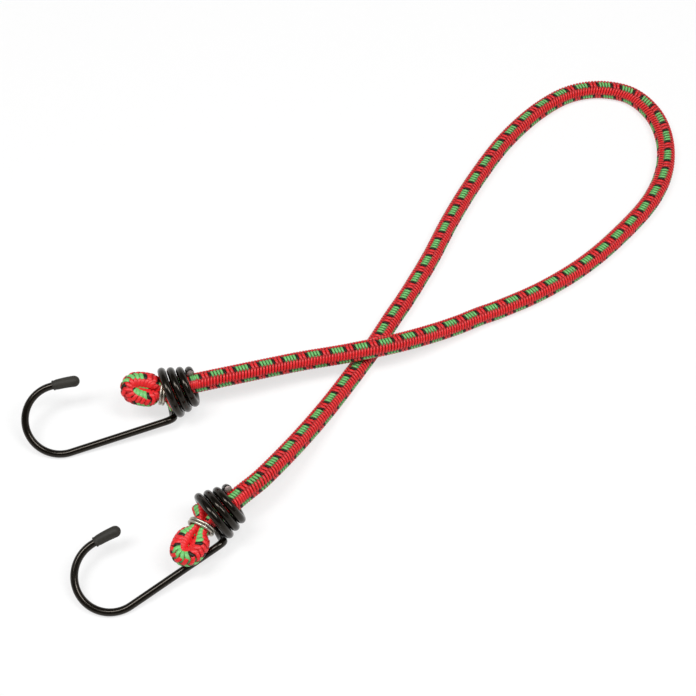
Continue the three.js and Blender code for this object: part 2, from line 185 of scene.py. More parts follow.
class BungeeCordSizes(bpy.types.PropertyGroup):
    """Sizes of the braided cord and its folded ends."""

    diameter: FloatProperty(
        name="Diameter", description="Across the cord, without its crowns", default=0.008,
        unit="LENGTH")
    row_spread: FloatProperty(
        name="Row spread", description="How far the rows lie apart on the side that faces up",
        default=0.12)
    float_share: FloatProperty(
        name="Float share", description="How much shorter the coloured floats are than the others",
        default=0.15)
    crown: FloatProperty(
        name="Crown", description="Braid proud of the cord's diameter", default=0.00016,
        unit="LENGTH")
    lay_shift: FloatProperty(
        name="Lay shift", description="Turns of the yarns at the lower hook", default=-0.43)
    yarn_width: FloatProperty(
        name="Yarn width", description="Across one yarn", default=0.00122, unit="LENGTH")
    yarn_thickness: FloatProperty(
        name="Yarn thickness", description="Through one yarn", default=0.00084, unit="LENGTH")
    yarn_dip: FloatProperty(
        name="Yarn dip", description="From a float to where the yarn goes under", default=0.0006,
        unit="LENGTH")
    float_slant: FloatProperty(
        name="Float slant", description="How much squarer to the cord a float lies than its helix",
        default=0.8)
    strand_count: IntProperty(
        name="Strands", description="Rubber strands in the core", default=4)
    bore: FloatProperty(
        name="Bore", description="Hollow of the sheath that the strands fill", default=0.0056,
        unit="LENGTH")
    waist_width: FloatProperty(
        name="Waist width", description="Across one leg of a fold in its clamp", default=0.0044,
        unit="LENGTH")
    waist_depth: FloatProperty(
        name="Waist depth", description="Through one leg of a fold in its clamp", default=0.0074,
        unit="LENGTH")
    fold_diameter: FloatProperty(
        name="Fold diameter", description="Cord stretched round its fold", default=0.0073,
        unit="LENGTH")
    fold_depth: FloatProperty(
        name="Fold depth", description="Depth of the cord round its fold", default=0.0066,
        unit="LENGTH")
    fold_length: FloatProperty(
        name="Fold length", description="From the clamp to the far end of the fold", default=0.017,
        unit="LENGTH")
    leg_gap: FloatProperty(
        name="Leg gap", description="Between a fold's legs in its clamp", default=-0.0009,
        unit="LENGTH")
    tail_length: FloatProperty(
        name="Tail length", description="From the clamp to the cut end", default=0.0064,
        unit="LENGTH")
    tail_width: FloatProperty(
        name="Tail width", description="Across the cut end", default=0.006, unit="LENGTH")
    tail_spread: FloatProperty(
        name="Tail spread", description="From the clamp's middle to the cut end", default=0.0047,
        unit="LENGTH")


class BungeeHookSizes(bpy.types.PropertyGroup):
    """Sizes of a hook: conical coil, straight shank, J and tip cap, and of its clamp ring."""

    wire: FloatProperty(
        name="Wire", description="Diameter of the hook's wire", default=0.00304, unit="LENGTH")
    coil_wire: FloatProperty(
        name="Coil wire", description="The same in the coil, where lacquer gathers",
        default=0.00334,
        unit="LENGTH")
    coil_radius: FloatProperty(
        name="Coil radius", description="Middle of the wire at the coil's mouth", default=0.01008,
        unit="LENGTH")
    coil_taper: FloatProperty(
        name="Coil taper", description="Loss of radius in each turn", default=0.00105,
        unit="LENGTH")
    coil_pitch: FloatProperty(
        name="Coil pitch", description="Along the axis for each turn", default=0.00355,
        unit="LENGTH")
    coil_turns: FloatProperty(name="Coil turns", description="Turns of the coil", default=3.6)
    elbow_turn: FloatProperty(
        name="Elbow turn", description="Degrees of the first turn that the elbow takes",
        default=15.0)
    elbow_length: FloatProperty(
        name="Elbow length", description="Shank that the elbow takes", default=0.004, unit="LENGTH")
    bend: FloatProperty(
        name="Bend", description="Radius of the J", default=0.014, unit="LENGTH")
    sweep: FloatProperty(name="Sweep", description="Degrees of the J", default=180.0)
    tip: FloatProperty(
        name="Tip", description="Nearly straight wire beyond the J", default=0.0112, unit="LENGTH")
    tip_bend: FloatProperty(
        name="Tip bend", description="Radius of the slight bend at the tip", default=0.055,
        unit="LENGTH")
    cap_length: FloatProperty(
        name="Cap length", description="Vinyl cap on the tip", default=0.011, unit="LENGTH")
    cap_wall: FloatProperty(
        name="Cap wall", description="Side wall of the cap", default=0.00052, unit="LENGTH")
    cap_end_wall: FloatProperty(
        name="Cap end wall", description="Closed end of the cap", default=0.001, unit="LENGTH")
    cap_clearance: FloatProperty(
        name="Cap clearance", description="Between the wire and the cap", default=0.00025,
        unit="LENGTH")
    clamp_wire: FloatProperty(
        name="Clamp wire", description="Diameter of the clamp's wire", default=0.0012,
        unit="LENGTH")
    clamp_turns: FloatProperty(name="Clamp turns", description="Turns of the clamp", default=2.0)
    clamp_pitch: FloatProperty(
        name="Clamp pitch", description="Along the fold for each turn", default=0.00128,
        unit="LENGTH")
    clamp_clearance: FloatProperty(
        name="Clamp clearance", description="Between the cord and the clamp", default=0.0003,
        unit="LENGTH")
    clamp_squareness: FloatProperty(
        name="Clamp squareness", description="Exponent of the clamp's oval", default=2.6)


class BungeeFinishes(bpy.types.PropertyGroup):
    """Colours of the pieces."""

    red: FloatVectorProperty(
        name="Red yarn", description="Most of the braid", subtype="COLOR", size=3,
        default=(0.92, 0.022, 0.026))
    green: FloatVectorProperty(
        name="Green yarn", description="Rows in the braid", subtype="COLOR", size=3,
        default=(0.195, 0.66, 0.18))
    black: FloatVectorProperty(
        name="Black yarn", description="Edges of the green rows", subtype="COLOR", size=3,
        default=(0.02, 0.013, 0.006))
    latex: FloatVectorProperty(
        name="Latex", description="Core strands", subtype="COLOR", size=3,
        default=(0.62, 0.50, 0.28))
    lacquer: FloatVectorProperty(
        name="Lacquer", description="Hook wire", subtype="COLOR", size=3,
        default=(0.003, 0.0022, 0.0014))
    vinyl: FloatVectorProperty(
        name="Vinyl", description="Tip caps", subtype="COLOR", size=3,
        default=(0.026, 0.024, 0.019))
    steel: FloatVectorProperty(
        name="Steel", description="Clamps", subtype="COLOR", size=3, default=(0.5, 0.46, 0.39))
    cut: FloatVectorProperty(
        name="Cut wire", description="Bare ends of the hook wire", subtype="COLOR", size=3,
        default=(0.56, 0.47, 0.45))


class BungeeStage(bpy.types.PropertyGroup):
    """Camera and studio light."""

    eye: FloatVectorProperty(
        name="Camera", description="Where the camera stands", subtype="TRANSLATION", size=3,
        default=(-0.0095, -0.29633, 0.49161))
    target: FloatVectorProperty(
        name="Target", description="Where the camera looks", subtype="TRANSLATION", size=3,
        default=(-0.0095, -0.0125, 0.0))
    lens: FloatProperty(
        name="Lens", description="Focal length on a 36 mm sensor, in millimetres", default=69.0)
    lamp_power: FloatProperty(
        name="Lamp power", description="Watts of each overhead lamp", default=7.0)
    sky: FloatProperty(
        name="Sky", description="Strength of the even light all round", default=0.12)
    floor: FloatVectorProperty(
        name="Floor", description="Colour of the pale floor", subtype="COLOR", size=3,
        default=(0.95, 0.95, 0.95))
    backdrop: FloatProperty(
        name="Backdrop", description="Share of plain white in the floor as it is seen", default=0.7)


# Paths and surfaces


def unit(vectors):
    """Each vector divided by its length."""
    return vectors / np.linalg.norm(vectors, axis=-1, keepdims=True)


def square_to(vectors, tangents):
    """Each vector less its part along the tangent, at unit length."""
    along = np.sum(vectors * tangents, axis=-1, keepdims=True)
    return unit(vectors - along * tangents)


def ease(t):
    """From 0 to 1 and level at both: three times t squared less twice t cubed."""
    return t**2 * (3 - 2 * t)


def round_angles(sides):
    """Even angles round a circle."""
    return np.arange(sides) * 2 * np.pi / sides


def stations(start, end, step):
    """Even distances from start to end, no further apart than a step."""
    return np.linspace(start, end, int(np.ceil((end - start) / step)) + 1)


def knot_slope(before, knot, after, root_before, root_after):
    """Slope at a knot: those of the two chords that meet there less that of the chord past it."""
    past = (after - before) / (root_before + root_after)
    return (knot - before) / root_before - past + (after - knot) / root_after


def catmull_rom(points, per_span):
    """Centripetal Catmull-Rom curve through the points: a cubic on each span, whose end slopes
    weigh the neighbouring chords by the square root of their lengths. The first and last chords
    repeat."""
    points = np.asarray(points, float)
    padded = np.vstack([2 * points[0] - points[1], points, 2 * points[-1] - points[-2]])
    before, start, end, after = (padded[i : len(padded) - 3 + i, None] for i in range(4))
    root = [np.linalg.norm(b - a, axis=-1, keepdims=True) ** 0.5
            for a, b in ((before, start), (start, end), (end, after))]
    slope_in = knot_slope(before, start, end, root[0], root[1]) * root[1]
    slope_out = knot_slope(start, end, after, root[1], root[2]) * root[1]
    t = (np.arange(per_span) / per_span)[None, :, None]
    cubic = 2 * start - 2 * end + slope_in + slope_out
    parabola = -3 * start + 3 * end - 2 * slope_in - slope_out
    curve = start + slope_in * t + parabola * t**2 + cubic * t**3
    return np.vstack([curve.reshape(-1, 3), points[-1:]])


class Path:
    """A line of close points with its distance and direction at each."""

    def __init__(self, points, tangents=None):
        self.points = np.asarray(points, float)
        steps = np.linalg.norm(np.diff(self.points, axis=0), axis=1)
        self.distance = np.concatenate([[0.0], np.cumsum(steps)])
        if tangents is None:
            tangents = unit(np.gradient(self.points, self.distance, axis=0))
        self.tangents = tangents

    def part(self, first, last):
        """The stretch from one point to another, with the whole line's directions."""
        return Path(self.points[first : last + 1], self.tangents[first : last + 1])

    @property
    def length(self):
        return self.distance[-1]

    def along(self, values, s):
        """Values given at the points, read off at distances s."""
        columns = [np.interp(s, self.distance, column) for column in np.asarray(values).T]
        return np.stack(columns, axis=-1)

    def at(self, s):
        """Points and unit directions at distances s."""
        return self.along(self.points, s), unit(self.along(self.tangents, s))


def ring_faces(tubes, rings, sides):
    """Quads between neighbouring rings of closed tubes, then the two end rings of each tube."""
    index = np.arange(tubes * rings * sides).reshape(tubes, rings, sides)
    beside = np.roll(index, -1, axis=2)
    quads = np.stack([index[:, :-1], beside[:, :-1], beside[:, 1:], index[:, 1:]], axis=-1)
    ends = np.concatenate([index[:, 0, ::-1], index[:, -1]])
    return quads.reshape(-1, 4), ends


def add_piece(name, vertices, faces, finishes, face_finish=None, uv=None, lift=None):
    """A smooth mesh object at the origin, with a finish for each face and, for each vertex, a UV
    and how far its yarn has come up out of the braid."""
    mesh = bpy.data.meshes.new(name)
    mesh.from_pydata(np.asarray(vertices, float).reshape(-1, 3).tolist(), [], faces)
    for finish in finishes:
        mesh.materials.append(finish)
    if face_finish is not None:
        mesh.polygons.foreach_set("material_index", np.asarray(face_finish, np.int32))
    if uv is not None:
        corners = np.empty(len(mesh.loops), np.int32)
        mesh.loops.foreach_get("vertex_index", corners)
        layer = mesh.uv_layers.new(name="UVMap")
        layer.data.foreach_set("uv", np.asarray(uv, np.float32)[corners].ravel())
    if lift is not None:
        marks = mesh.attributes.new("lift", "FLOAT", "POINT")
        marks.data.foreach_set("value", np.asarray(lift, np.float32))
    mesh.polygons.foreach_set("use_smooth", np.ones(len(mesh.polygons), bool))
    mesh.update()
    piece = bpy.data.objects.new(name, mesh)
    bpy.context.scene.collection.objects.link(piece)
    return piece


def add_tube(name, rings, finishes, end_finish=0, uv=None):
    """One closed tube, or several alike, from their rings. The ends may have another finish."""
    rings = rings.reshape(-1, *rings.shape[-3:])
    quads, ends = ring_faces(*rings.shape[:3])
    face_finish = [0] * len(quads) + [end_finish] * len(ends)
    return add_piece(name, rings, quads.tolist() + ends.tolist(), finishes, face_finish, uv)


def swept_tube(points, tangents, normals, radii, sides):
    """Rings round a line: point + radius * (cos a * normal + sin a * (tangent x normal))."""
    angle = round_angles(sides)[:, None]
    binormals = np.cross(tangents, normals)
    ring = normals[:, None] * np.cos(angle) + binormals[:, None] * np.sin(angle)
    return points[:, None] + ring * np.broadcast_to(radii, len(points))[:, None, None]


def cut_wire(path, normals, radii, end_share, sides):
    """Rings and UV of a wire with rounded cut ends: towards an end its radius falls, as a quarter
    of an ellipse, to a share of itself."""
    inward = np.minimum(path.distance, path.length - path.distance) / END_ROUNDING
    quarter = np.sqrt(1 - (1 - np.clip(inward, 0, 1)) ** 2)
    rounded = radii * (end_share + (1 - end_share) * quarter)
    rings = swept_tube(path.points, path.tangents, normals, rounded, sides)
    uv = np.stack(np.broadcast_arrays(path.distance[:, None], np.arange(sides) / sides), axis=-1)
    return rings, uv.reshape(-1, 2)


# Finishes


def shade(colour, share):
    """A colour made darker or lighter."""
    return tuple(min(1.0, channel * share) for channel in colour)


class Finish:
    """A material with its shader and a short way to add and link nodes."""

    def __init__(self, name, **sockets):
        self.material = bpy.data.materials.new(name)
        self.material.use_nodes = True
        self.tree = self.material.node_tree
        self.shader = self.tree.nodes["Principled BSDF"]
        for socket, value in sockets.items():
            self.shader.inputs[socket.replace("_", " ")].default_value = value

    def put(self, value, socket):
        """Sets a value on a socket, or links an output to it."""
        if isinstance(value, bpy.types.NodeSocket):
            self.tree.links.new(value, socket)
        else:
            socket.default_value = value

    def feed(self, socket, output):
        self.tree.links.new(output, self.shader.inputs[socket])

    def add(self, kind, settings=None, **inputs):
        """A node with its settings and inputs."""
        node = self.tree.nodes.new(kind)
        for key, value in (settings or {}).items():
            setattr(node, key, value)
        for key, value in inputs.items():
            self.put(value, node.inputs[key.replace("_", " ")])
        return node

    def place(self):
        """The piece's own coordinates."""
        return self.add("ShaderNodeTexCoord").outputs["Object"]

    def strip(self):
        """Distance along a yarn or wire, and share of the way round it."""
        return self.add("ShaderNodeUVMap", {"uv_map": "UVMap"}).outputs["UV"]

    def noise(self, vector, scale, detail=3.0):
        """Noise on a coordinate that is scaled along each axis."""
        mapped = self.add("ShaderNodeMapping", Vector=vector, Scale=scale)
        node = self.add("ShaderNodeTexNoise", Vector=mapped.outputs["Vector"], Scale=1.0,
                        Detail=detail, Roughness=0.6)
        return node.outputs["Fac"]

    def shades(self, factor, dark, light, low=0.35, high=0.65):
        """A ramp between two colours."""
        ramp = self.add("ShaderNodeValToRGB", Fac=factor)
        ends = zip(ramp.color_ramp.elements, (low, high), (dark, light))
        for element, position, colour in ends:
            element.position = position
            element.color = (*colour, 1.0)
        return ramp.outputs["Color"]

    def spread(self, factor, low, high, start=0.0, end=1.0):
        """A factor carried from one range to another."""
        node = self.add("ShaderNodeMapRange", Value=factor, From_Min=start, From_Max=end,
                        To_Min=low, To_Max=high)
        return node.outputs["Result"]

    def maths(self, operation, first, second=0.0):
        """One sum on two factors."""
        node = self.add("ShaderNodeMath", {"operation": operation})
        for socket, value in zip(node.inputs, (first, second)):
            self.put(value, socket)
        return node.outputs["Value"]

    def mottle(self, factor, colour, shares, roughness=None):
        """Base colour between two shares of a colour, and roughness between two values."""
        dark, light = (shade(colour, share) for share in shares)
        self.feed("Base Color", self.shades(factor, dark, light))
        if roughness is not None:
            self.feed("Roughness", self.spread(factor, *roughness))

    def bump(self, height, strength, distance):
        node = self.add("ShaderNodeBump", Height=height, Strength=strength, Distance=distance)
        self.feed("Normal", node.outputs["Normal"])


def yarn_finish(name, colour, gloss, groove_shade, dive_shade):
    """Fine filaments along the yarn, with painted light and shade in its base colour: a painted
    highlight on its crown in the middle of a float, and painted shade in the grooves between yarns
    and where it goes under."""
    finish = Finish(name, Specular_IOR_Level=gloss)
    uv = finish.strip()
    filaments = finish.noise(uv, (420.0, 16.0, 1.0))
    around = finish.add("ShaderNodeSeparateXYZ", Vector=uv).outputs["Y"]
    lift = finish.add("ShaderNodeAttribute", {"attribute_name": "lift"}).outputs["Fac"]
    # painted light and shade: the base colour is lightest on the crown and darkest in the grooves
    # and where the yarn goes under
    off_crown = finish.maths("ABSOLUTE", finish.maths("SUBTRACT", around, 0.5))
    on_crown = finish.spread(off_crown, low=1.0, high=groove_shade, start=0.03, end=0.26)
    on_float = finish.spread(lift, low=dive_shade, high=1.0, start=0.5, end=0.85)
    light = finish.maths("MULTIPLY", on_crown, on_float)
    on_filament = finish.spread(filaments, low=0.78, high=1.0, start=0.35, end=0.65)
    light = finish.maths("MULTIPLY", light, on_filament)
    finish.feed("Base Color", finish.shades(light, shade(colour, 0.04), colour, low=0.0, high=1.0))
    finish.feed("Roughness", finish.spread(filaments, low=0.5, high=0.32))
    finish.bump(filaments, strength=0.5, distance=0.00012)
    return finish.material


def shade_liner_finish(name, colour):
    """Painted shade: a dark inside for the braid, seen only between yarns, where shade falls."""
    finish = Finish(name, Roughness=0.9)
    grain = finish.noise(finish.place(), (900.0, 900.0, 900.0))
    finish.mottle(grain, colour, shares=(0.2, 0.4))
    return finish.material


def melted_finish(name, colour):
    """Cut end of the braid, sealed with heat: dark, uneven and a little shiny."""
    finish = Finish(name, Specular_IOR_Level=0.5)
    grain = finish.noise(finish.place(), (1400.0, 1400.0, 1400.0))
    finish.mottle(grain, colour, shares=(0.12, 0.75), roughness=(0.3, 0.6))
    finish.bump(grain, strength=0.6, distance=0.0003)
    return finish.material


def latex_finish(name, colour):
    """Cream rubber with a chalky bloom."""
    finish = Finish(name, Specular_IOR_Level=0.4)
    bloom = finish.noise(finish.place(), (500.0, 500.0, 500.0))
    finish.mottle(bloom, colour, shares=(0.8, 1.1), roughness=(0.5, 0.75))
    finish.bump(bloom, strength=0.2, distance=0.0002)
    return finish.material


def lacquer_finish(name, colour):
    """Glossy dipped lacquer: a smooth skin with faint waves and a dusty bloom."""
    finish = Finish(name, Specular_IOR_Level=0.36, Specular_Tint=(1.0, 0.9, 0.78, 1.0))
    waves = finish.noise(finish.place(), (260.0, 260.0, 260.0), detail=2.0)
    finish.mottle(waves, colour, shares=(0.8, 1.5), roughness=(0.14, 0.24))
    finish.bump(waves, strength=0.05, distance=0.0002)
    return finish.material


def vinyl_finish(name, colour):
    """Soft dipped vinyl: matt, with a fine grain and slightly uneven colour."""
    finish = Finish(name, Specular_IOR_Level=0.35)
    place = finish.place()
    grain = finish.noise(place, (1800.0, 1800.0, 1800.0))
    cloud = finish.noise(place, (220.0, 220.0, 220.0))
    finish.mottle(cloud, colour, shares=(0.8, 1.25), roughness=(0.52, 0.7))
    finish.bump(grain, strength=0.25, distance=0.0001)
    return finish.material


def steel_finish(name, colour):
    """Bright drawn wire: fine marks along the wire and a thin zinc bloom."""
    finish = Finish(name, Metallic=1.0)
    marks = finish.noise(finish.strip(), (300.0, 18.0, 1.0))
    finish.mottle(marks, colour, shares=(0.8, 1.1), roughness=(0.28, 0.42))
    finish.bump(marks, strength=0.2, distance=0.00005)
    return finish.material


def cut_finish(name, colour):
    """Sheared end of a wire: dull bare steel with torn marks."""
    finish = Finish(name, Metallic=1.0)
    marks = finish.noise(finish.place(), (900.0, 2600.0, 900.0))
    finish.mottle(marks, colour, shares=(0.55, 0.95), roughness=(0.45, 0.65))
    finish.bump(marks, strength=0.4, distance=0.0001)
    return finish.material


def floor_finish(settings):
    """Pale floor that keeps shadows, with a share of plain white where it is seen, also in gloss
    and through clear pieces."""
    finish = Finish("floor", Roughness=0.8, Base_Color=(*settings.floor, 1.0))
    rays = finish.add("ShaderNodeLightPath").outputs
    seen = finish.maths("MAXIMUM", rays["Is Camera Ray"], rays["Is Glossy Ray"])
    seen = finish.maths("MAXIMUM", seen, rays["Is Transmission Ray"])
    share = finish.maths("MULTIPLY", seen, settings.backdrop)
    glow = finish.add("ShaderNodeEmission", Color=(1.0, 1.0, 1.0, 1.0), Strength=1.0)
    mix = finish.add("ShaderNodeMixShader", Fac=share)
    finish.put(finish.shader.outputs["BSDF"], mix.inputs[1])
    finish.put(glow.outputs["Emission"], mix.inputs[2])
    finish.put(mix.outputs["Shader"], finish.tree.nodes["Material Output"].inputs["Surface"])
    return finish.material


def cord_finishes(context):
    """Finishes of the cord in the order of the yarn colours, made once."""
    colours = context.scene.bungee_finishes
    names = ["yarn_red", "yarn_green", "yarn_black", "braid_shade_liner", "braid_melted"]
    if names[0] not in bpy.data.materials:
        red = tuple(colours.red)
        yarn_finish("yarn_red", red, gloss=0.4, groove_shade=0.2, dive_shade=0.52)
        yarn_finish("yarn_green", tuple(colours.green), gloss=0.5, groove_shade=0.1, dive_shade=0.26)
        yarn_finish("yarn_black", tuple(colours.black), gloss=0.25, groove_shade=0.4, dive_shade=0.7)
        shade_liner_finish("braid_shade_liner", red)
        melted_finish("braid_melted", red)
    return [bpy.data.materials[name] for name in names]


# Layout of the cord and the hooks


def plane_turn(angle, first, second):
    """Matrix of a turn from one axis towards another: cosines on the two, sines between them."""
    matrix = np.eye(3)
    matrix[[first, second], [first, second]] = np.cos(angle)
    matrix[second, first] = np.sin(angle)
    matrix[first, second] = -np.sin(angle)
    return matrix


class HookFrame:
    """A hook's own frame: +X along the coil's axis towards the cord, +Y to the tip's side."""

    def __init__(self, placing):
        roll, pitch, yaw = np.radians([placing["roll"], placing["pitch"], placing["yaw"]])
        self.axes = plane_turn(yaw, 0, 1) @ plane_turn(pitch, 0, 2) @ plane_turn(roll, 1, 2)
        self.mouth = np.array(placing["mouth"]) * MM

    def place(self, points):
        return np.asarray(points) @ self.axes.T + self.mouth

    def turn(self, directions):
        return np.asarray(directions) @ self.axes.T


class FoldFrame:
    """Directions of a fold in its hook's frame: along it, from the standing leg to the tail, and
    square to both."""

    def __init__(self, placing, cord):
        self.middle = np.array(placing["clamp"]) * MM
        self.reach = cord.fold_length - cord.fold_diameter / 2
        rise = np.arcsin((placing["lift"] * MM - self.middle[2]) / self.reach)
        turn, tilt = np.radians([placing["swing"], placing["tilt"]])
        self.along = np.array(
            [-np.cos(rise) * np.cos(turn), np.cos(rise) * np.sin(turn), np.sin(rise)])
        aside = square_to(np.array([0.0, placing["tail_side"], 0.0]), self.along)
        self.aside = aside * np.cos(tilt) + np.cross(self.along, aside) * np.sin(tilt)
        self.square = np.cross(self.along, self.aside)

    def at(self, length, side, height=0.0):
        length, side, height = np.broadcast_arrays(length, side, height)
        return (self.middle + length[..., None] * self.along + side[..., None] * self.aside
                + height[..., None] * self.square)


def coil_exit(hook):
    """Distance from the coil's mouth to the free cord, on the coil's axis."""
    return hook.coil_pitch * hook.coil_turns + hook.coil_wire / 2 + COIL_GAP


def fold_knots(cord, hook, placing, leg):
    """Knots of a folded end from the coil's small end through the clamp, round the fold and back to
    the cut end, with the section's width and depth as shares of the cord. Inside the coil the cord
    already points along its leg."""
    hook_frame, fold = HookFrame(placing), FoldFrame(placing, cord)
    way_out = np.array([coil_exit(hook), *(np.array(placing["exit"]) * MM)])
    towards = unit((np.array(leg) * MM - hook_frame.mouth) @ hook_frame.axes - way_out)
    way_in = way_out - towards * STRAIGHT_SHARE * coil_exit(hook)
    clamp_length = hook.clamp_turns * hook.clamp_pitch + hook.clamp_wire
    waist_half = clamp_length / 2 + 2 * hook.clamp_clearance
    waist_offset = (cord.waist_width + cord.leg_gap) / 2
    radius = placing["radius"] * MM
    bend_start = fold.reach - radius
    shoulder = waist_half + placing["shoulder"] * MM
    whole = (1.0, 1.0)
    waist = (cord.waist_width / cord.diameter, cord.waist_depth / cord.diameter)
    thin = (cord.fold_diameter / cord.diameter, cord.fold_depth / cord.diameter)
    tail = (cord.tail_width / cord.diameter, 1.0)
    knots = [(way_out, whole), (way_in, whole)]
    knots += [(fold.at(z, -waist_offset), waist) for z in (-waist_half, waist_half)]
    knots += [(fold.at(shoulder, -radius), thin)]
    for angle in np.radians([-90, -45, 0, 45, 90]):
        place = fold.at(bend_start + radius * np.cos(angle), radius * np.sin(angle))
        knots.append((place, thin))
    knots += [(fold.at(shoulder, radius), thin)]
    knots += [(fold.at(z, waist_offset), waist) for z in (waist_half, -waist_half)]
    knots += [(fold.at(-cord.tail_length, cord.tail_spread), tail)]
    return [(hook_frame.place(place), size) for place, size in knots]


# Braid


def row_angle(share):
    """Turn of the coloured rows at a share of the free cord's length, in radians."""
    return np.radians(np.interp(share, ROW_PLACES, ROW_TURNS))


class CordStretch:
    """A stretch of cord: its path, where it starts along the free cord, which side of it faces the
    viewer, and how it is squeezed."""

    def __init__(self, path, offset, whole, facing=None, squeeze=None):
        self.path = path
        self.offset = offset
        self.whole = whole
        self.facing = np.broadcast_to(SIGHT, path.points.shape) if facing is None else facing
        self.squeeze = squeeze

    def share(self, s):
        """Distances as shares of the free cord."""
        return (s + self.offset) / self.whole

    def flatness(self, s):
        """How far the yarns are spread flat: not at all on the free cord, most past the coils."""
        beyond = np.abs(self.share(s) - 0.5) - 0.5
        return np.interp(beyond, FLAT_PLACES, FLAT_SPREADS)

    def laps(self, s):
        """Turns of a yarn up to distances s: the sum of short steps over the lay at each."""
        rate = self.whole / (np.interp(LAY_SAMPLES, LAY_PLACES, LAY_LENGTHS) * MM)
        steps = (rate[1:] + rate[:-1]) / 2 * np.diff(LAY_SAMPLES)
        turns = np.concatenate([[0.0], np.cumsum(steps)])
        turns = turns - np.interp(0.0, LAY_SAMPLES, turns)
        return np.interp(self.share(s), LAY_SAMPLES, turns)

    def frame(self, s):
        """Point, direction towards the viewer and direction to the left of travel, at distances
        s."""
        point, tangent = self.path.at(s)
        facing = square_to(self.path.along(self.facing, s), tangent)
        return point, facing, np.cross(facing, tangent)

    def set_down(self, offsets, s, point):
        """Offsets from the middle line squeezed to the section there, and kept above the floor."""
        if self.squeeze is not None:
            offsets = self.squeeze(offsets, s)
        placed = point + offsets
        placed[..., 2] = np.maximum(placed[..., 2], 0.0)
        return placed


def yarn_rings(stretch, cord, start, end, hand, shares):
    """Rings of the yarns of one hand, with UV and how far each yarn is up. A yarn turns once round
    the cord in each lay, faster where it floats: turn = steady + slant / 4 * sin(4 * steady). Its
    radius is the top less a dip, where the dip follows cos(4 * turn), so each quarter turn holds
    one row of floats. Its section is an ellipse, wide across the yarn and thin towards the core."""
    s = stations(start, end, YARN_STEP)
    shares = np.array(shares)[:, None]
    place = np.cumsum(shares, axis=0) - shares / 2
    steady = (place / YARN_COUNT - hand * (stretch.laps(s) + cord.lay_shift)) * 2 * np.pi
    if hand < 0:
        steady = steady + np.pi / YARN_COUNT
    turn = steady + hand * cord.float_slant / 4 * np.sin(4 * steady)
    lift = hand * (np.cos(4 * turn) - cord.float_share)
    wave = lift / np.sqrt(lift**2 + FLOAT_EDGE) * np.sqrt(1 + FLOAT_EDGE)
    flat = stretch.flatness(s)
    half_thickness = cord.yarn_thickness / 2 / flat
    half_width = cord.yarn_width / 2 * flat[:, None, None] * shares[:, None, None]
    dip = cord.yarn_dip / flat
    radius = cord.diameter / 2 + cord.crown - half_thickness - dip * (1 - wave) / 2
    point, facing, left = stretch.frame(s)
    angle = turn + row_angle(stretch.share(s))
    angle = angle + cord.row_spread * np.sin(2 * angle)
    radial = facing * np.cos(angle)[..., None] + left * np.sin(angle)[..., None]
    centre = point + radial * radius[..., None]
    tangent = unit(np.gradient(centre, axis=1))
    normal = square_to(radial, tangent)
    across = np.cross(tangent, normal)
    corner = np.pi + round_angles(YARN_SIDES)[:, None]
    ring = (centre[:, :, None]
            + normal[:, :, None] * half_thickness[:, None, None] * np.cos(corner)
            + across[:, :, None] * half_width * np.sin(corner))
    rings = stretch.set_down(ring - point[:, None], s, point[:, None])
    length = np.linalg.norm(np.gradient(centre, axis=1), axis=2).cumsum(axis=1)
    length = length + np.arange(YARN_COUNT)[:, None] * YARN_UV_STEP
    # painted light: on flat yarns the UV round the yarn is squeezed towards the crown, so the
    # painted highlight widens and the painted groove shade narrows
    around = 0.5 + (np.arange(YARN_SIDES) / YARN_SIDES - 0.5) / flat[:, None]**FLAT_SHEEN
    uv = np.stack(np.broadcast_arrays(length[:, :, None], around), axis=-1)
    # painted shade: on flat yarns the lift is raised, so the painted shade where a yarn goes under
    # is weaker
    lift = np.broadcast_to((1 - (1 - lift) / 2 / flat**2)[:, :, None], uv.shape[:-1])
    return rings, uv, lift


def liner_rings(stretch, cord, start, end):
    """A plain tube under the yarns that closes the view between them, coloured dark as painted
    shade: radius * (cos a * facing - sin a * left), where the radius is the cord's less the depth
    of its yarns."""
    s = stations(start, end, LINER_STEP)
    point, facing, left = stretch.frame(s)
    depth = (cord.yarn_thickness / 2 + cord.yarn_dip) / stretch.flatness(s)
    radius = (cord.diameter / 2 + cord.crown - depth)[:, None, None]
    angle = round_angles(LINER_SIDES)[:, None]
    ring = facing[:, None] * np.cos(angle) - left[:, None] * np.sin(angle)
    return stretch.set_down(ring * radius, s[:, None, None], point[:, None])


def plug_rings(stretch, cord, end, outward):
    """The sealed cut end: rings of a low dome over the yarns' ends, closed behind. Each is a circle
    with two small ripples, at its share of the cord's radius and its distance past the cut."""
    point, tangent = stretch.path.at(np.array([end]))
    _, facing, left = stretch.frame(np.array([end]))
    angle = round_angles(PLUG_SIDES)
    ring = facing * np.cos(angle)[:, None] - outward * left * np.sin(angle)[:, None]
    ripple = 1 + 0.03 * np.sin(3 * angle + 1) + 0.02 * np.sin(7 * angle)
    radius, past = PLUG_PROFILE.T[:, :, None, None]
    offsets = ring * (ripple * cord.diameter / 2)[:, None] * radius
    placed = stretch.set_down(offsets, np.full((len(PLUG_PROFILE), 1, 1), end), point)
    return placed + outward * tangent * past


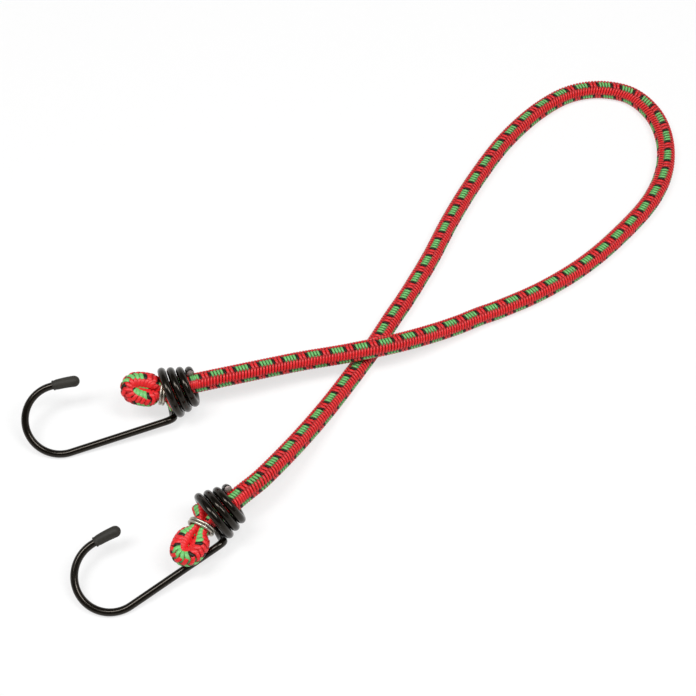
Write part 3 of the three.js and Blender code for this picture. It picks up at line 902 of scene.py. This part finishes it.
def braided_piece(context, name, stretch, start, end, cut_end=0):
    """The sheath of one stretch: sixteen yarns, a liner, and a sealed end where it is cut."""
    cord = context.scene.bungee_cord
    tubes = []
    for hand, yarns in ((1, YARNS), (-1, [(RED, 1.0)] * YARN_COUNT)):
        order, shares = zip(*yarns)
        tubes.append((order, *yarn_rings(stretch, cord, start, end, hand, shares)))
    # the liner's dark colour is painted shade between the yarns
    plain = [(SHADE_LINER, liner_rings(stretch, cord, start, end))]
    if cut_end:
        plain.append((MELTED, plug_rings(stretch, cord, end if cut_end > 0 else start, cut_end)))
    for colour, rings in plain:
        sizes = rings.shape[:2]
        tubes.append(((colour,), rings[None], np.zeros((*sizes, 2)), np.ones(sizes)))
    vertices, faces, colours, uvs, lifts, count = [], [], [], [], [], 0
    for order, rings, uv, lift in tubes:
        quads, ends = ring_faces(*rings.shape[:3])
        vertices.append(rings.reshape(-1, 3))
        uvs.append(uv.reshape(-1, 2))
        lifts.append(lift.ravel())
        faces += (quads + count).tolist() + (ends + count).tolist()
        colours += np.repeat(order, len(quads) // len(order)).tolist() + list(order) * 2
        count += rings[..., 0].size
    return add_piece(name, np.vstack(vertices), faces, cord_finishes(context), colours,
                     np.vstack(uvs), np.concatenate(lifts))


def strand_piece(context, name, stretch, start, end):
    """Round rubber strands side by side in the sheath's bore: circles whose middles lie evenly on a
    circle, as large as leaves them clear of each other and of the bore."""
    cord = context.scene.bungee_cord
    s = stations(start, end, STRAND_STEP)
    point, facing, left = stretch.frame(s)
    half = np.sin(np.pi / cord.strand_count)
    room = cord.bore / 2 - BORE_CLEARANCE
    radius = (room * half - STRAND_CLEARANCE) / (1 + half)
    place = round_angles(cord.strand_count)[:, None]
    corner = round_angles(STRAND_SIDES)
    side = (room - radius) * np.sin(place) - radius * np.sin(corner)
    up = (room - radius) * np.cos(place) + radius * np.cos(corner)
    offsets = facing[:, None] * up[:, None, :, None] + left[:, None] * side[:, None, :, None]
    rings = stretch.set_down(offsets, s[:, None, None], point[:, None])
    colour = tuple(context.scene.bungee_finishes.latex)
    finish = bpy.data.materials.get("latex") or latex_finish("latex", colour)
    return add_tube(name, rings, [finish])


class CordLayout:
    """The whole cord on one curve, cut into stretches, with the bodies that each piece follows."""

    def __init__(self, context):
        cord, hook = context.scene.bungee_cord, context.scene.bungee_hook
        floor_line = FLOOR_SHARE * cord.diameter
        on_floor = [(x, y, floor_line / MM) for x, y in LOOP_ON_SURFACE]
        free = np.array([*LOWER_LEG, *on_floor, *LOOP_OVER, *UPPER_LEG]) * MM
        lower = fold_knots(cord, hook, ENDS["lower"], LOWER_LEG[1])[::-1]
        upper = fold_knots(cord, hook, ENDS["upper"], UPPER_LEG[-2])
        knots = [*lower, *((place, (1.0, 1.0)) for place in free), *upper]
        places, sizes = (np.array(values) for values in zip(*knots))
        first = (len(lower) - 1) * STEPS_PER_SPAN
        last = (len(lower) + len(free)) * STEPS_PER_SPAN
        points = catmull_rom(places, STEPS_PER_SPAN)
        points[first:last, 2] = np.maximum(points[first:last, 2], floor_line)
        line = Path(points)
        sizes = self.eased(sizes)
        path = line.part(first, last)
        self.free = CordStretch(path, 0.0, path.length)
        lower_fold, upper_fold = line.part(0, first), line.part(last, len(points) - 1)
        self.ends = {
            "lower": self.fold(cord, "lower", lower_fold, sizes[: first + 1], path.length),
            "upper": self.fold(cord, "upper", upper_fold, sizes[last:], path.length),
        }
        self.pieces = self.cut(path)

    def cut(self, path):
        """Pieces of the free cord: name, start and end, the body that it follows, the body that it
        turns or stretches towards, and between which places."""
        knots = path.distance[::STEPS_PER_SPAN]
        lower_bend = knots[len(LOWER_LEG) + 1] + BEND_REACH
        upper_bend = knots[-2 - len(UPPER_LEG)] - BEND_REACH
        lower_cut, upper_cut = LOWER_LEG_LENGTH, path.length - UPPER_LEG_LENGTH
        third = (upper_cut - lower_cut) / 3
        near_lower, near_upper = lower_cut + third, upper_cut - third
        upper_end = path.length - STRETCH_END
        return [
            ("lower_leg", 0.0, lower_cut, "lower_leg", "lower_end", lower_cut, STRETCH_END),
            ("loop_start", lower_cut, near_lower, "loop", "lower_leg", lower_bend, lower_cut),
            ("loop_middle", near_lower, near_upper, "loop", None, None, None),
            ("loop_finish", near_upper, upper_cut, "loop", "upper_leg", upper_bend, upper_cut),
            ("upper_leg", upper_cut, path.length, "upper_leg", "upper_end", upper_cut, upper_end),
        ]

    def eased(self, sizes):
        """Sizes at the knots carried to every point, level at each knot."""
        t = np.linspace(0, len(sizes) - 1, (len(sizes) - 1) * STEPS_PER_SPAN + 1)
        span = np.minimum(t.astype(int), len(sizes) - 2)
        return sizes[span] + (sizes[span + 1] - sizes[span]) * ease(t - span)[:, None]

    def fold(self, cord, side, path, sizes, whole):
        """One folded end as a stretch that goes on from the free cord in the direction of travel.
        Its section is scaled by its width across the fold and by its depth square to the fold."""
        square = HookFrame(ENDS[side]).turn(FoldFrame(ENDS[side], cord).square)

        def squeeze(offsets, s):
            distance = np.asarray(s)
            tangent = unit(path.along(path.tangents, distance))
            size = path.along(sizes, distance)
            upward = square_to(np.broadcast_to(square, tangent.shape), tangent)
            across = np.cross(upward, tangent)
            if distance.ndim == 1:
                shape = (1, len(distance), 1, 3)
            else:
                shape = (*distance.shape[:-1], 3)
            tangent, upward, across = (axis.reshape(shape) for axis in (tangent, upward, across))
            width, depth = (size[..., i].reshape(shape[:-1]) for i in range(2))
            length = np.sum(offsets * tangent, axis=-1)
            wide = np.sum(offsets * across, axis=-1) * width
            deep = np.sum(offsets * upward, axis=-1) * depth
            return length[..., None] * tangent + wide[..., None] * across + deep[..., None] * upward

        offset = whole if side == "upper" else -path.length
        from_exit = path.distance if side == "upper" else path.length - path.distance
        share = ease(np.clip(from_exit / FACING_EASE, 0, 1)[:, None])
        upward = square if square[2] > 0 else -square
        return CordStretch(path, offset, whole, (1 - share) * SIGHT + share * upward, squeeze)

    def attach(self, piece, near, far, bend_from, bend_to):
        """Makes a piece follow one body; a piece that lies between two bodies only has its placing
        baked into its mesh.
        """
        if far is None:
            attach(piece, near)
            return
        from_point, to_point = self.free.path.at(np.array([bend_from, bend_to]))[0]
        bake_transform(piece)


# Hooks


def hook_corners(hook, placing):
    """Centre of the J, the elbow's corner, and the angles at the J's two ends."""
    centre = np.array([-placing["reach"], placing["offset"], 0.0]) * MM
    rim = hook.coil_radius - hook.coil_taper * hook.elbow_turn / 360
    corner = np.array([0.0, -rim / np.cos(np.radians(hook.elbow_turn)), 0.0])
    away = corner - centre
    shank_angle = np.arctan2(away[1], away[0]) - np.arccos(hook.bend / np.linalg.norm(away))
    return centre, corner, shank_angle, shank_angle - np.radians(hook.sweep)


def tip_line(hook, placing, t):
    """Points and directions at lengths t beyond the J, on an arc that goes on with a wider
    radius."""
    centre, _, _, tip_angle = hook_corners(hook, placing)
    inward = -np.array([np.cos(tip_angle), np.sin(tip_angle), 0.0])
    outward = np.array([np.sin(tip_angle), -np.cos(tip_angle), 0.0])
    angle = (np.asarray(t) / hook.tip_bend)[:, None]
    start = centre - hook.bend * inward
    points = start + hook.tip_bend * (np.sin(angle) * outward + (1 - np.cos(angle)) * inward)
    return points, np.cos(angle) * outward + np.sin(angle) * inward


def hook_line(hook, placing):
    """The wire's middle line in the hook's frame from the tip to the coil's small end: a wide arc,
    the arc of the J, a straight shank, a parabola at the elbow and a conical helix. The second
    result is how far each point is through the elbow, from 0 on the flat hook to 1 on the coil."""
    centre, corner, shank_angle, tip_angle = hook_corners(hook, placing)
    arc = np.linspace(tip_angle, shank_angle, BEND_POINTS)[:, None]
    bend = centre + hook.bend * np.hstack([np.cos(arc), np.sin(arc), 0 * arc])
    tip = tip_line(hook, placing, np.linspace(hook.tip, 0, TIP_POINTS)[:-1])[0]
    shank_end = corner - unit(corner - bend[-1]) * hook.elbow_length
    shank = bend[-1] + (shank_end - bend[-1]) * np.linspace(0, 1, SHANK_POINTS)[1:, None]
    turn = np.linspace(hook.elbow_turn / 360, hook.coil_turns, COIL_POINTS)
    radius = hook.coil_radius - hook.coil_taper * turn
    angle = turn * 2 * np.pi
    coil = np.stack(
        [hook.coil_pitch * turn, -radius * np.cos(angle), -radius * np.sin(angle)], axis=1)
    t = np.linspace(0, 1, ELBOW_POINTS)[1:-1, None]
    elbow = (1 - t) ** 2 * shank_end + 2 * t * (1 - t) * corner + t**2 * coil[0]
    line = np.vstack([tip, bend, shank, elbow, coil])
    flat = len(tip) + len(bend) + len(shank)
    through = np.concatenate([np.zeros(flat), t[:, 0], np.ones(len(coil))])
    return line, through


def cap_profile(hook):
    """Radii of a tip cap and heights above its mouth, from the middle of the hollow's end down the
    bore, round a rolled lip, up a side that widens as a power of its height, and over a round
    nose."""
    bore = hook.wire / 2 + hook.cap_clearance
    outer = bore + hook.cap_wall
    hollow, shoulder = hook.cap_length - hook.cap_end_wall, hook.cap_length - outer
    inside = np.linspace(hollow, CAP_LIP_HALF, 6)
    lip = np.radians(np.linspace(-90, 60, 8))
    rise = np.linspace(0.1, 1, 10)
    nose = np.radians(np.linspace(0, 88, 14))[1:]
    lip_middle = outer * CAP_MOUTH_SHARE - CAP_LIP_INSET
    widening = CAP_MOUTH_SHARE + (1 - CAP_MOUTH_SHARE) * rise**CAP_SIDE_POWER
    radius = [[CAP_POLE], np.full(len(inside), bore), lip_middle + CAP_LIP_WIDTH * np.cos(lip),
              outer * widening, outer * np.cos(nose)]
    height = [[hollow], inside, CAP_LIP_HALF + CAP_LIP_HALF * np.sin(lip),
              CAP_SIDE_START + rise * (shoulder - CAP_SIDE_START), shoulder + outer * np.sin(nose)]
    return np.concatenate(radius), np.concatenate(height)


def clamp_oval(cord, hook, angle):
    """Sides and heights of a clamp round the two legs of a fold: a squared oval, half width * cos
    and half depth * sin, each to the power 2 / squareness with its sign kept. It clears the middle
    of each leg, so it is deeper between them."""
    room = hook.clamp_clearance + hook.clamp_wire / 2
    waist_offset = (cord.waist_width + cord.leg_gap) / 2
    half_width = waist_offset + cord.waist_width / 2 + room
    crown = 1 - (waist_offset / half_width) ** hook.clamp_squareness
    half_depth = (cord.waist_depth / 2 + room) / crown ** (1 / hook.clamp_squareness)
    power = 2 / hook.clamp_squareness
    side = half_width * np.sign(np.cos(angle)) * np.abs(np.cos(angle)) ** power
    height = half_depth * np.sign(np.sin(angle)) * np.abs(np.sin(angle)) ** power
    return side, height


# Operators


class BUNGEE_OT_stage(bpy.types.Operator):
    """Camera at the photograph's place, pale floor, and two soft lamps overhead"""

    bl_idname = "bungee.stage"
    bl_label = "Stage"

    def execute(self, context):
        settings = context.scene.bungee_stage
        self.camera(context, settings)
        self.floor(settings)
        self.sky(context, settings)
        for name, place in LAMPS.items():
            self.lamp(context, name, place, settings.lamp_power)
        context.scene.view_settings.view_transform = "Standard"
        return {"FINISHED"}

    def camera(self, context, settings):
        data = bpy.data.cameras.new("photo_camera")
        data.sensor_width, data.lens = 36.0, settings.lens
        data.clip_start, data.clip_end = 0.01, 20.0
        camera = bpy.data.objects.new("photo_camera", data)
        camera.location = settings.eye
        sight = Vector(settings.target) - Vector(settings.eye)
        camera.rotation_euler = sight.to_track_quat("-Z", "Y").to_euler()
        context.scene.collection.objects.link(camera)
        context.scene.camera = camera

    def floor(self, settings):
        """A profile turned round the upright axis: flat, a quarter circle up, then straight."""
        bend = np.linspace(0, np.pi / 2, FLOOR_BEND_POINTS)
        edge = FLOOR_FLAT + FLOOR_BEND
        radius = np.concatenate([FLOOR_RINGS, FLOOR_FLAT + FLOOR_BEND * np.sin(bend), [edge]])
        rise = FLOOR_BEND - FLOOR_BEND * np.cos(bend)
        height = np.concatenate([np.zeros(len(FLOOR_RINGS)), rise, [FLOOR_WALL]])
        angle = round_angles(FLOOR_SIDES)
        around = np.stack([np.cos(angle), np.sin(angle), np.zeros(FLOOR_SIDES)], axis=-1)
        upright = np.array([0.0, 0.0, 1.0])
        bowl = around * radius[:, None, None] + upright * height[:, None, None]
        quads, ends = ring_faces(1, len(radius), FLOOR_SIDES)
        faces = quads[:, ::-1].tolist() + [ends[0].tolist()[::-1]]
        floor = add_piece("floor", bowl, faces, [floor_finish(settings)])

    def sky(self, context, settings):
        world = bpy.data.worlds.new("studio")
        world.use_nodes = True
        context.scene.world = world
        background = world.node_tree.nodes["Background"]
        background.inputs["Color"].default_value = (1.0, 1.0, 1.0, 1.0)
        background.inputs["Strength"].default_value = settings.sky

    def lamp(self, context, name, place, power):
        data = bpy.data.lights.new(name, "AREA")
        data.shape, data.energy = "RECTANGLE", power
        data.size, data.size_y = LAMP_SIZE
        lamp = bpy.data.objects.new(name, data)
        lamp.location = place
        lamp.rotation_euler = (-Vector(place)).to_track_quat("-Z", "Y").to_euler()
        context.scene.collection.objects.link(lamp)


class BUNGEE_OT_free_cord(bpy.types.Operator):
    """Braided sheath of the free cord: three parts of the loop and the two legs"""

    bl_idname = "bungee.free_cord"
    bl_label = "Free cord"

    def execute(self, context):
        layout = CordLayout(context)
        stretch, path = layout.free, layout.free.path
        for name, start, end, *bodies in layout.pieces:
            piece = braided_piece(context, f"braid_{name}", stretch, start, end)
            layout.attach(piece, *bodies)
            node = "sheath_loop" if name.startswith("loop") else f"sheath_{name}"
            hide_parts(node)
            line = path.at(np.linspace(start, end, CORD_LINE_POINTS))[0]
        return {"FINISHED"}


class BUNGEE_OT_folded_ends(bpy.types.Operator):
    """Braided sheath of both folded ends, each with its sealed cut end"""

    bl_idname = "bungee.folded_ends"
    bl_label = "Folded ends"

    def execute(self, context):
        layout = CordLayout(context)
        for side, stretch in layout.ends.items():
            cut, length = 1 if side == "upper" else -1, stretch.path.length
            piece = braided_piece(context, f"braid_{side}_eye", stretch, 0.0, length, cut)
            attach(piece, f"{side}_end")
            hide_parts(f"sheath_{side}_eye")
        return {"FINISHED"}


class BUNGEE_OT_core(bpy.types.Operator):
    """Rubber strands inside every stretch of the cord"""

    bl_idname = "bungee.core"
    bl_label = "Core"

    def execute(self, context):
        layout = CordLayout(context)
        count = context.scene.bungee_cord.strand_count
        for name, start, end, *bodies in layout.pieces:
            piece = strand_piece(context, f"core_{name}", layout.free, start, end)
            layout.attach(piece, *bodies)
            stretch = "loop" if name.startswith("loop") else name
            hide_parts(*(f"strand_{stretch}_{i + 1}" for i in range(count)))
        for side, stretch in layout.ends.items():
            start, end = STRAND_SETBACK, stretch.path.length - STRAND_SETBACK
            piece = strand_piece(context, f"core_{side}_eye", stretch, start, end)
            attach(piece, f"{side}_end")
            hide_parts(*(f"strand_{side}_eye_{i + 1}" for i in range(count)))
        return {"FINISHED"}


class BUNGEE_OT_hooks(bpy.types.Operator):
    """Both hooks: one unbroken lacquered wire each, bare where it was cut"""

    bl_idname = "bungee.hooks"
    bl_label = "Hooks"

    def execute(self, context):
        hook, colours = context.scene.bungee_hook, context.scene.bungee_finishes
        lacquer = lacquer_finish("lacquer", tuple(colours.lacquer))
        finishes = [lacquer, cut_finish("cut_steel", tuple(colours.cut))]
        for side, placing in ENDS.items():
            line, through = hook_line(hook, placing)
            path = Path(line)
            upward = np.stack([through, 0 * through, 1 - through], axis=1)
            normals = square_to(upward, path.tangents)
            diameter = hook.wire + (hook.coil_wire - hook.wire) * through
            rings, uv = cut_wire(path, normals, diameter / 2, HOOK_END_SHARE, HOOK_SIDES)
            rings = HookFrame(placing).place(rings)
            piece = add_tube(f"{side}_hook", rings, finishes, end_finish=1, uv=uv)
            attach(piece, f"{side}_hook")
            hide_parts(f"{side}_hook_wire")
        return {"FINISHED"}


class BUNGEE_OT_tip_caps(bpy.types.Operator):
    """Dipped vinyl caps on both tips"""

    bl_idname = "bungee.tip_caps"
    bl_label = "Tip caps"

    def execute(self, context):
        hook = context.scene.bungee_hook
        finish = vinyl_finish("vinyl", tuple(context.scene.bungee_finishes.vinyl))
        radius, height = cap_profile(hook)
        seat = hook.cap_length - hook.cap_end_wall - hook.cap_clearance
        for side, placing in ENDS.items():
            line, tangents = tip_line(hook, placing, hook.tip + height - seat)
            normals = np.cross(tangents, [0.0, 0.0, 1.0])
            rings = swept_tube(line, tangents, normals, radius, CAP_SIDES)
            piece = add_tube(f"{side}_cap", HookFrame(placing).place(rings), [finish])
            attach(piece, f"{side}_hook")
            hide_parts(f"{side}_tip_cap")
        return {"FINISHED"}


class BUNGEE_OT_clamps(bpy.types.Operator):
    """Wire rings that hold both folds"""

    bl_idname = "bungee.clamps"
    bl_label = "Clamps"

    def execute(self, context):
        cord, hook = context.scene.bungee_cord, context.scene.bungee_hook
        finish = steel_finish("steel", tuple(context.scene.bungee_finishes.steel))
        half, points = hook.clamp_turns / 2, int(CLAMP_POINTS_PER_TURN * hook.clamp_turns)
        turn = np.linspace(-half, half, points)
        for name, placing in ENDS.items():
            fold, hook_frame = FoldFrame(placing, cord), HookFrame(placing)
            start = CLAMP_START * np.sign(hook_frame.turn(fold.square)[2])
            side, height = clamp_oval(cord, hook, (turn - start) * 2 * np.pi)
            path = Path(hook_frame.place(fold.at(hook.clamp_pitch * turn, side, height)))
            along = np.broadcast_to(hook_frame.turn(fold.along), path.tangents.shape)
            normals = square_to(along, path.tangents)
            rings, uv = cut_wire(path, normals, hook.clamp_wire / 2, CLAMP_END_SHARE, CLAMP_SIDES)
            piece = add_tube(f"{name}_ring", rings, [finish], uv=uv)
            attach(piece, f"{name}_end")
            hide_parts(f"{name}_clamp")
        return {"FINISHED"}


class BUNGEE_PT_panel(bpy.types.Panel):
    """Lists the pieces of the bungee cord"""

    bl_idname = "BUNGEE_PT_panel"
    bl_label = "Bungee Cord"
    bl_space_type = "VIEW_3D"
    bl_region_type = "UI"
    bl_category = "Bungee"

    def draw(self, context):
        for operator in OPERATORS:
            self.layout.operator(operator.bl_idname)


OPERATORS = [
    BUNGEE_OT_stage, BUNGEE_OT_free_cord, BUNGEE_OT_folded_ends, BUNGEE_OT_core, BUNGEE_OT_hooks,
    BUNGEE_OT_tip_caps, BUNGEE_OT_clamps,
]
SETTINGS = {
    "bungee_cord": BungeeCordSizes,
    "bungee_hook": BungeeHookSizes,
    "bungee_finishes": BungeeFinishes,
    "bungee_stage": BungeeStage,
}


def register():
    for group in SETTINGS.values():
        bpy.utils.register_class(group)
    for operator in OPERATORS:
        bpy.utils.register_class(operator)
    bpy.utils.register_class(BUNGEE_PT_panel)
    for name, group in SETTINGS.items():
        setattr(bpy.types.Scene, name, PointerProperty(type=group))


def unregister():
    for name in SETTINGS:
        delattr(bpy.types.Scene, name)
    bpy.utils.unregister_class(BUNGEE_PT_panel)
    for operator in reversed(OPERATORS):
        bpy.utils.unregister_class(operator)
    for group in reversed(list(SETTINGS.values())):
        bpy.utils.unregister_class(group)


def main():
    """Registers the add-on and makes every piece."""
    register()
    bpy.ops.bungee.stage()
    bpy.ops.bungee.free_cord()
    bpy.ops.bungee.folded_ends()
    bpy.ops.bungee.core()
    bpy.ops.bungee.hooks()
    bpy.ops.bungee.tip_caps()
    bpy.ops.bungee.clamps()


if __name__ == "__main__":
    main()
